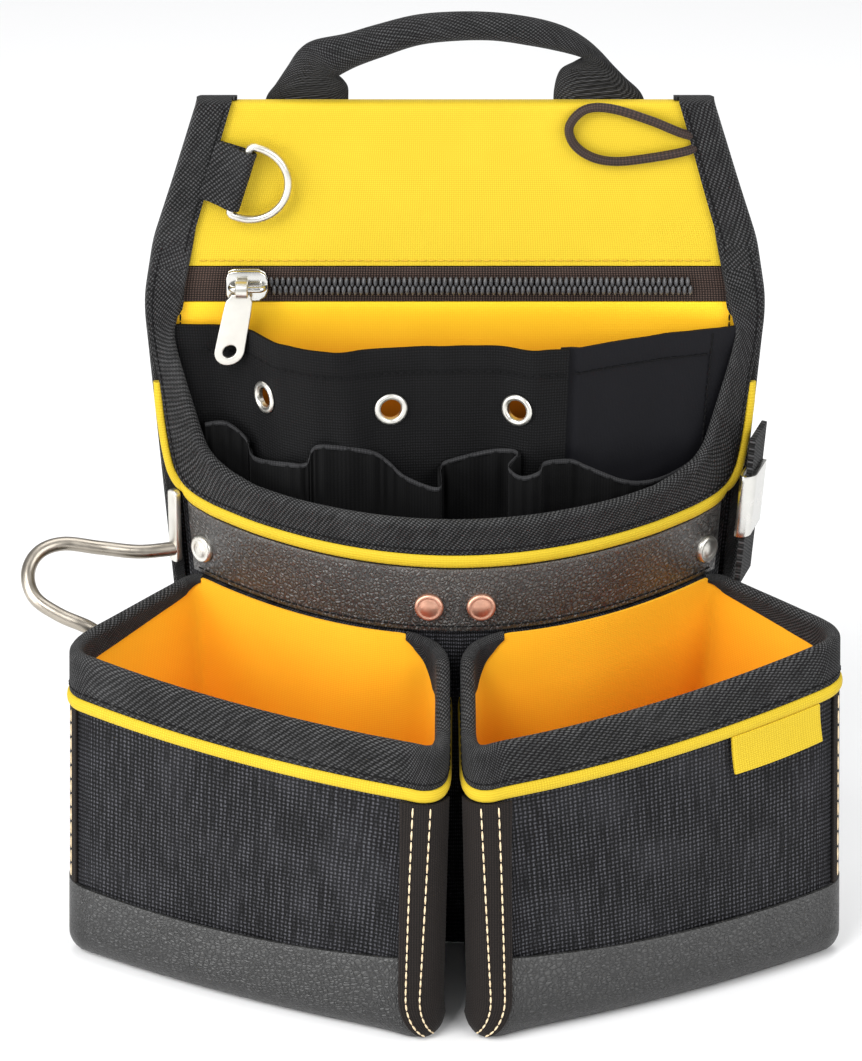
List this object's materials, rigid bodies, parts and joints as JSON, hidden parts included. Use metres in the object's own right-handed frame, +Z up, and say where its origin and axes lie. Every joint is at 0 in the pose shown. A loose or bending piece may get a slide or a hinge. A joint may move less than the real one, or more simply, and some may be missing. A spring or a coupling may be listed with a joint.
{
  "type": "tool pouch",
  "caption": "Standing tool pouch with a zipped upper pocket, carry handle, rounded main pouch with gathered tool loops, flared nail pouches, wire hammer loop, D-ring and tape clip.",
  "frame": {"origin": "middle of the back panel's lower edge, on the surface that the pouch stands on", "axes": "+Z up the back panel to the handle, -Y out of the front of the pouches, +X to the right as seen from the front"},
  "size_m": [0.2759, 0.1278, 0.3117],
  "materials": {
    "black_cloth": "black woven polyester",
    "black_webbing": "black ribbed webbing",
    "yellow_cloth": "yellow woven polyester",
    "orange_lining": "orange-yellow lining cloth",
    "vinyl": "grained black vinyl",
    "steel": "bright nickelled steel",
    "copper": "copper rivet caps",
    "zip_teeth": "black moulded coil",
    "elastic": "dark elastic cord"
  },
  "bodies": {
    "pouch": {"back_lining": "orange_lining", "back_panel": "black_cloth", "base_guard_left": "vinyl", "base_guard_right": "vinyl", "belt_tunnel": "black_cloth", "clip_strap": "black_webbing", "d_ring_tab": "black_webbing", "elastic_loop": "elastic", "eyelet_1": "steel", "eyelet_2": "steel", "eyelet_3": "steel", "eyelet_panel": "black_cloth", "flat_pocket": "black_cloth", "hammer_holder": "steel", "handle": "black_webbing", "inner_seam_tape_left": "black_cloth", "inner_seam_tape_right": "black_cloth", "label_tag": "yellow_cloth", "loop_pockets": "black_cloth", "main_floor": "black_cloth", "main_piping": "yellow_cloth", "main_rim_binding": "black_cloth", "main_wall": "black_cloth", "nail_lining_left": "orange_lining", "nail_lining_right": "orange_lining", "nail_piping_left": "yellow_cloth", "nail_piping_right": "yellow_cloth", "nail_rim_binding_left": "black_cloth", "nail_rim_binding_right": "black_cloth", "nail_shell_left": "black_cloth", "nail_shell_right": "black_cloth", "outer_seam_tape_left": "black_cloth", "outer_seam_tape_right": "black_cloth", "rivet_band": "vinyl", "rivet_copper_left": "copper", "rivet_copper_right": "copper", "rivet_steel_left": "steel", "rivet_steel_right": "steel", "side_binding_left": "black_cloth", "side_binding_right": "black_cloth", "tape_clip": "steel", "upper_panel": "yellow_cloth", "zip_slider": "steel", "zip_tape": "black_cloth", "zip_teeth": "zip_teeth"},
    "zip_pull": {"zip_pull": "steel"},
    "d_ring": {"d_ring": "steel"}
  },
  "joints": [
    {"name": "zip_pull_swing", "type": "hinge", "parent": "pouch", "child": "zip_pull", "pos_m": [-0.0699, -0.0102, 0.2214], "axis": [-1, 0, 0], "range_deg": [0, 150]},
    {"name": "d_ring_swing", "type": "hinge", "parent": "pouch", "child": "d_ring", "pos_m": [-0.06994, -0.0067, 0.25805], "axis": [-0.3054, 0, -0.9522], "range_deg": [0, 160]}
  ]
}
